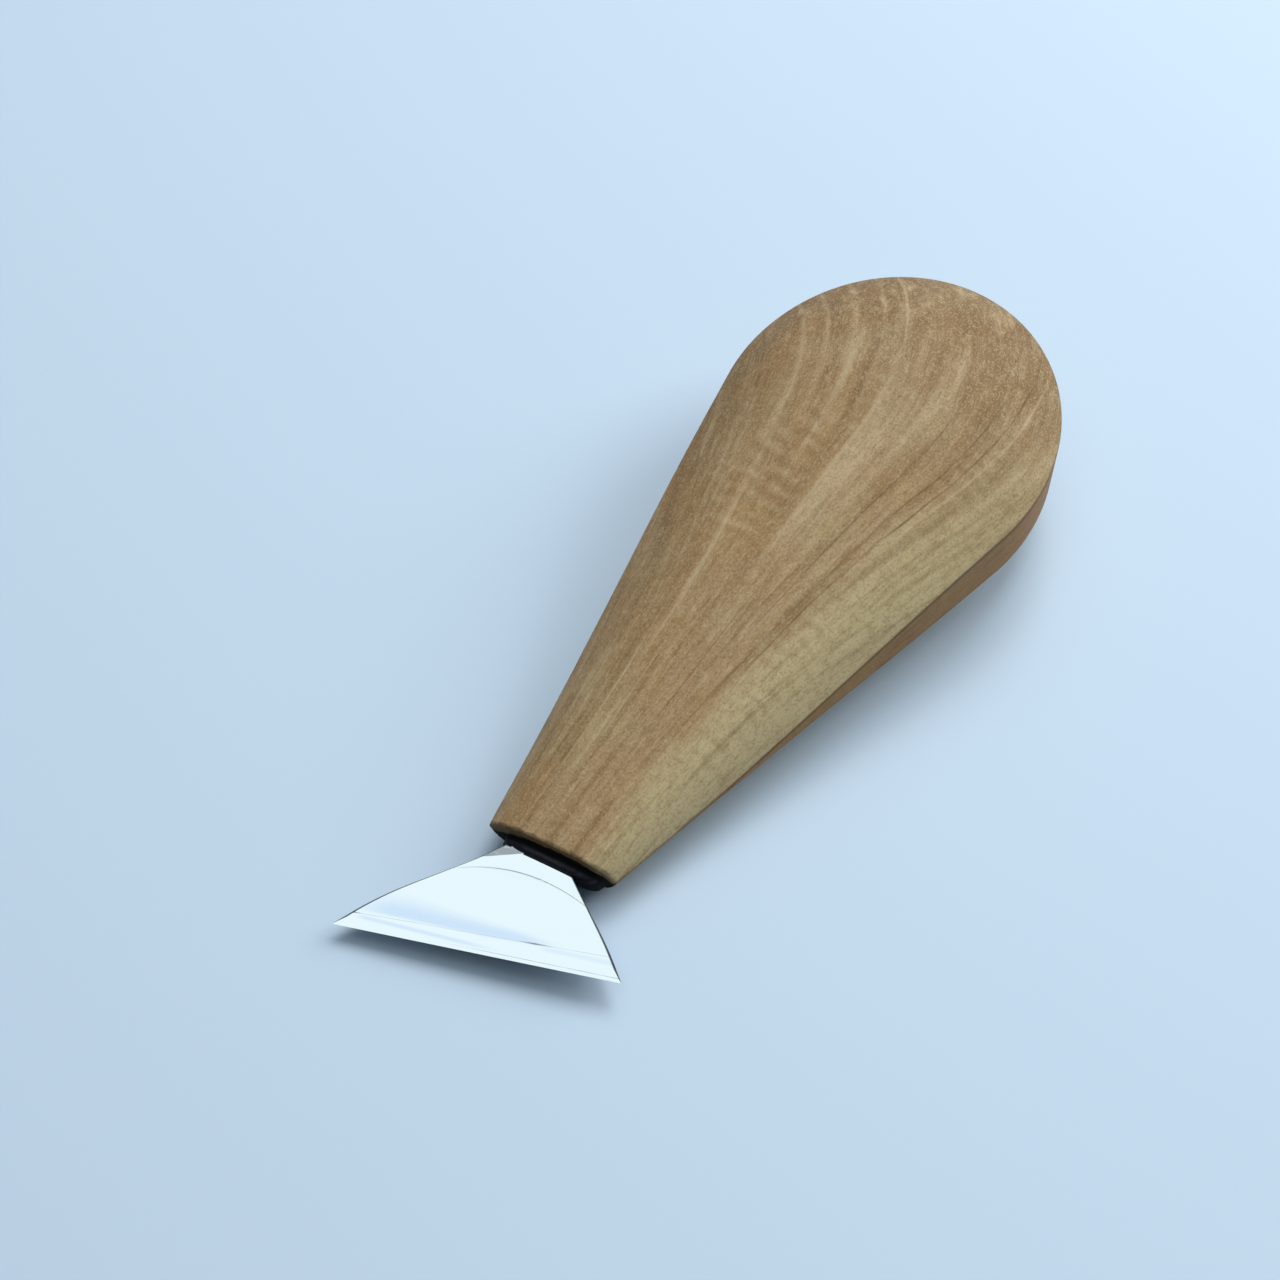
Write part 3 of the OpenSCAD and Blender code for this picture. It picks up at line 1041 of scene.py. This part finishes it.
def burnt_front(tree, place, body):
    """Scorches the front end and paints it lighter, burns its rim, and chars it from below with painted
    shadow. Gives its splinters, and its char and shadow, too.
    """
    u, v, n = parts_of(tree, place)
    front = u + v * math.tan(FRONT_SKEW)
    ragged = noise(tree, place, scale=0.8, detail=3.0)
    rim = front.ease(0.0, 0.12) * (1 - (front - ragged * 0.7).ease(0.0, 0.35))
    face = 1 - front.ease(0.05, 0.25)
    off_middle = v - CHAR_SHADOW_MIDDLE
    char_shadow_top = CHAR_SHADOW_TOP - CHAR_SHADOW_FALL * off_middle * off_middle + (ragged - 0.5) * CHAR_SHADOW_RAGGED
    # Char and painted shadow: black from below up to a ragged top.
    char_and_shadow = (1 - front.ease(0.2, 0.6)) * (1 - (n - char_shadow_top).ease(-0.25, 0.25))
    # The end face's scorched brown, painted lighter to stand in for light it does not get.
    body = mixed(tree, face * 0.80, body, LIT_SCORCH)
    body = mixed(tree, rim * 0.60, body, BURNT_RIM)
    body = mixed(tree, char_and_shadow, body, CHAR_AND_SHADOW)
    return body, rim * ragged, char_and_shadow


def wood_finish(smudge):
    """Oiled close-grained wood: layers that fan out, fine fibres and pores, a burnt front end, and painted
    shade, shadow and light on the side, the left edge, the butt and the front end.
    """
    finish, tree, shader = new_finish("oiled_wood")
    place = turned_place(tree, handle_to_floor())
    u, _, n = parts_of(tree, place)
    layer, fan = layer_place(tree, place)
    side = side_shade_share(u, n)
    end_grain = u.ease(*END_GRAIN)
    ground = wood_ground(tree, place, layer, fan, side * (1 - end_grain))
    body, close, thread = wood_figure(tree, place, layer, fan, ground)
    fibre = noise(tree, pulled(tree, close, 3.0, 1, 1), scale=9.0, roughness=0.6)
    pores = noise(tree, pulled(tree, close, 6.0, 1, 1), scale=9.0, detail=1.0).share(0.62, 0.74)
    body = mixed(tree, fibre.share(0.50, 0.68) * 0.14, body, PALE)
    body = mixed(tree, pores * 0.25, body, LATE_WOOD)

    # Painted shade over the upright side band, weaker where it turns to end grain.
    body = mixed(tree, side * (1 - end_grain * 0.4), body, SIDE_SHADE_TINT, "MULTIPLY")
    # Painted shadow: a dark line along the top of the side band, under the arris.
    arris_shadow = side * (n - half_band(HANDLE, u)).ease(-1.1, -0.3) * u.ease(*ARRIS_SHADOW_RUN)
    body = mixed(tree, arris_shadow * 0.66, body, LATE_WOOD)

    body, splinters, char_and_shadow = burnt_front(tree, place, body)
    feed(tree, shader.inputs["Base Color"], body)

    gloss = 0.55 + (fibre - 0.5) * 0.12 + pores * 0.12 + smudges(tree, smudge, place, size=14.0, amount=0.22)
    feed(tree, shader.inputs["Roughness"], gloss + char_and_shadow * 0.3)
    height = thread * 0.6 + fibre * 0.4 - pores * 0.7 - splinters * 2
    feed(tree, shader.inputs["Normal"], relief(tree, height, distance=0.035))
    shader.inputs["Specular IOR Level"].default_value = 0.14
    return finish


def steel_finish(smudge):
    """Mirror-buffed steel with fine polish lines, honing lines by the edge darkened for painted reflection,
    a painted bluish reflection behind the bevel, and satin sides and neck painted dark for the dark
    reflection on them.
    """
    finish, tree, shader = new_finish("polished_steel")
    place = turned_place(tree, edge_to_floor())
    back, along, _ = parts_of(tree, place)
    satin_shade = Number(tree, node_with(tree, "ShaderNodeAttribute", {"attribute_name": "satin_shade"}).outputs["Fac"])
    polish = noise(tree, pulled(tree, place, 0.05, 2.5, 1), scale=5.0)
    hairs = noise(tree, pulled(tree, place, 3.0, 0.06, 1), scale=4.0).share(0.62, 0.80)
    brushed = noise(tree, pulled(tree, place, 0.2, 6.0, 1), scale=3.0)
    cloud = smudges(tree, smudge, place, size=9.0, amount=0.05)

    along = -along
    bevel_back = BEVEL_BACK[0] + (BEVEL_BACK[1] - BEVEL_BACK[0]) / EDGE_LENGTH * along
    marks_and_shade = hone_marks_and_crease_shade(tree, place, back, along, bevel_back)
    bluish_reflection = painted_bluish_reflection(tree, place, back, along, bevel_back)

    # Painted bluish reflection over the buffed steel.
    tint = mixed(tree, bluish_reflection, BUFFED_STEEL, BLUISH_REFLECTION_STEEL)
    # Honing lines and painted dark reflection at the bevel's creases.
    tint = mixed(tree, marks_and_shade, tint, HONE_LINE_SHADE_STEEL)
    # Satin sides and neck, painted dark for the dark reflection on the rounded sides.
    tint = mixed(tree, satin_shade * (0.75 + brushed * 0.25), tint, SATIN_SHADE_STEEL)
    feed(tree, shader.inputs["Base Color"], tint)
    gloss = 0.05 + polish * 0.03 + hairs * 0.05 + cloud + satin_shade * 0.22 + marks_and_shade * 0.15
    feed(tree, shader.inputs["Roughness"], gloss)
    height = polish * 0.4 + hairs * 0.3 + satin_shade * brushed
    feed(tree, shader.inputs["Normal"], relief(tree, height, distance=0.002))
    shader.inputs["Metallic"].default_value = 1.0
    return finish


def hone_line(back, place, width):
    """A fine line at one distance back from the edge."""
    return 1 - ((back - place).math("ABSOLUTE") / width).at_most(1)


def hone_marks_and_crease_shade(tree, place, back, along, bevel_back):
    """Dark honing lines, at the bevel's back with short scuffs and by the edge, darkened further as painted
    reflection at these creases.
    """
    broken = noise(tree, pulled(tree, place, 0.3, 1, 1), scale=0.45, detail=3.0).share(0.35, 0.60)
    scuff = sum((1 - ((along - at) / reach).math("ABSOLUTE").at_most(1) for at, reach in HONE_SCUFFS), 0.0)
    bevel_line = hone_line(back, bevel_back, 0.05 + scuff * 0.10) * (0.25 + broken * 0.2 + scuff * 0.8)
    honed_line = hone_line(back, HONED_BACK, 0.05) * along.ease(*HONED_LINE_STARTS) * (0.35 + broken * 0.45)
    return (bevel_line + honed_line).at_most(1)


def painted_bluish_reflection(tree, place, back, along, bevel_back):
    """The painted bluish reflection behind the bevel, a wedge that narrows along it, and the streaks on the
    bevel.
    """
    behind = back - bevel_back
    drawn = pulled(tree, place, 0.45, 0.07, 1)
    patchy = noise(tree, drawn, scale=1.0, detail=1.0, roughness=0.4).ease(0.40, 0.66)
    low = 0.35 - 0.45 * along.share(*HAZE_MEETS_BEVEL)
    high = 2.5 - 1.9 * along.share(*HAZE_NARROWS)
    bluish_reflection = (behind - low).ease(-0.25, 0.25) * (1 - (behind / high).ease(0.3, 1.4))
    bluish_reflection = bluish_reflection * along.ease(*HAZE_STARTS) * (1 - along.ease(*HAZE_STOPS)) * (0.60 + patchy * 0.35)
    for spot in BEVEL_STREAKS:
        bluish_reflection = bluish_reflection.at_least(bluish_bevel_streak(back, along, *spot))
    return bluish_reflection


def bluish_bevel_streak(back, along, start, stop, back_start, back_stop, half_width, strength):
    """A soft streak of painted bluish reflection along the bevel."""
    middle = back_start + (back_stop - back_start) * along.share(start, stop)
    near = 1 - ((back - middle).math("ABSOLUTE") / half_width).ease(0, 1)
    return near * along.ease(start - 1, start + 1) * (1 - along.ease(stop - 5, stop + 1)) * strength


def bedding_finish(smudge):
    """Black set resin, glossy where it swells and dull towards the wood."""
    finish, tree, shader = new_finish("black_bedding")
    place = turned_place(tree, handle_to_floor())
    slump = noise(tree, place, scale=0.5)
    grit = noise(tree, place, scale=5.0)
    dust = noise(tree, place, scale=1.4, detail=3.0).share(0.55, 0.80)
    u, v, n = parts_of(tree, place)
    dull = (u + v * math.tan(FRONT_SKEW)).ease(-0.75, -0.25).at_least(1 - n.ease(-0.2, 0.9))
    tint = mixed(tree, dust * 0.5, RESIN, DUSTY_RESIN)
    tint = mixed(tree, dull, tint, DULL_RESIN)
    feed(tree, shader.inputs["Base Color"], tint)
    gloss = 0.32 + grit * 0.10 + dust * 0.15 + smudges(tree, smudge, place, size=4.0, amount=0.15)
    feed(tree, shader.inputs["Roughness"], gloss + dull * 0.55)
    feed(tree, shader.inputs["Normal"], relief(tree, slump + grit * 0.12, distance=0.25))
    shader.inputs["Specular IOR Level"].default_value = 0.40
    return finish


def floor_finish():
    """A pale, faintly clouded floor."""
    finish, tree, shader = new_finish("pale_floor")
    place = node_with(tree, "ShaderNodeTexCoord").outputs["Object"]
    cloud = noise(tree, place, scale=6.0)
    tint = mixed(tree, cloud, FLOOR_LOW, FLOOR_HIGH)
    feed(tree, shader.inputs["Base Color"], tint)
    feed(tree, shader.inputs["Roughness"], 0.60 + noise(tree, place, scale=60.0) * 0.1)
    shader.inputs["Specular IOR Level"].default_value = 0.2
    return finish


# The setting


def make_floor():
    """The floor the knife lies on."""
    mesh = bpy.data.meshes.new("pale_floor")
    half = FLOOR_HALF
    corners = [(-half, -half, 0), (half, -half, 0), (half, half, 0), (-half, half, 0)]
    mesh.from_pydata(corners, [], [(0, 1, 2, 3)])
    mesh.materials.append(floor_finish())
    floor = bpy.data.objects.new("pale_floor", mesh)
    bpy.context.scene.collection.objects.link(floor)


def camera_axes():
    """Level directions of the photograph: away from the camera, and to its right."""
    away = Vector((math.cos(CAMERA_HEADING), math.sin(CAMERA_HEADING), 0))
    right = Vector((math.sin(CAMERA_HEADING), -math.cos(CAMERA_HEADING), 0))
    return away, right


def make_camera():
    """The photograph's camera."""
    away, _ = camera_axes()
    sight = away * math.cos(CAMERA_ELEVATION) - Vector((0, 0, math.sin(CAMERA_ELEVATION)))
    data = bpy.data.cameras.new("photo_camera")
    data.sensor_width = SENSOR
    data.lens = SENSOR * FOCAL_PIXELS / FRAME_PIXELS
    data.clip_start = 0.01
    data.clip_end = 20
    camera = bpy.data.objects.new("photo_camera", data)
    camera.location = (CAMERA_AIM - sight * CAMERA_DISTANCE) * MM
    camera.rotation_mode = "QUATERNION"
    camera.rotation_quaternion = sight.to_track_quat("-Z", "Y")
    bpy.context.scene.collection.objects.link(camera)
    bpy.context.scene.camera = camera


def soft_light(name, place, aim, size, power):
    """A soft box that lights the part but isn't mirrored in it."""
    data = bpy.data.lights.new(name, "AREA")
    data.shape = "RECTANGLE"
    data.size = size[0]
    data.size_y = size[1]
    data.energy = power
    lamp = bpy.data.objects.new(name, data)
    lamp.location = place
    lamp.rotation_mode = "QUATERNION"
    lamp.rotation_quaternion = (aim - place).to_track_quat("-Z", "Y")
    lamp.visible_glossy = False
    bpy.context.scene.collection.objects.link(lamp)


def between(number, limits, soft):
    """1 between two limits, fading to 0 over a soft border."""
    low, high = limits
    return number.ease(low - soft, low + soft) * (1 - number.ease(high - soft, high + soft))


def light_setting():
    """A soft panel and a card overhead in a dim room, and two soft boxes at the back and the right."""
    away, right = camera_axes()
    for name, (far, aside, high), size, power in SOFT_BOXES:
        place = away * far + right * aside + Vector((0, 0, high))
        soft_light(name, place, Vector((0, 0, 0)), size, power)
    world = bpy.data.worlds.new("pale_room")
    world.use_nodes = True
    bpy.context.scene.world = world
    tree = world.node_tree
    x, y, z = parts_of(tree, node_with(tree, "ShaderNodeTexCoord").outputs["Generated"])
    overhead = z.share(0.0, OVERHEAD)
    slant_away = (x * away.x + y * away.y) / z.at_least(LOWEST)
    slant_right = (x * right.x + y * right.y) / z.at_least(LOWEST)
    panel = between(slant_right, PANEL_RIGHT, PANEL_SOFT[0]) * between(slant_away, PANEL_AWAY, PANEL_SOFT[1])
    panel = panel * (1 - between(slant_away, PANEL_GAP, GAP_SOFT) * GAP_DARK)
    card = between(slant_right, CARD_RIGHT, CARD_SOFT[0]) * between(slant_away, CARD_AWAY, CARD_SOFT[1])
    light = panel.at_least(card) * overhead
    feed(tree, tree.nodes["Background"].inputs["Color"], mixed(tree, light, ROOM, PANEL))
    bpy.context.scene.view_settings.view_transform = "Standard"


def main():
    """Makes the three pieces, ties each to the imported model, and sets the scene round them."""
    smudge = smudge_group()
    pieces = (
        (make_handle(wood_finish(smudge)), "handle", "oiled_wood"),
        (make_blade(steel_finish(smudge)), "blade", "polished_steel"),
        (make_bedding(bedding_finish(smudge)), "tang_bedding", "black_bedding"),
    )
    for piece, node, slot in pieces:
        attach(piece, "root")
        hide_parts(node)
    make_floor()
    make_camera()
    light_setting()


main()
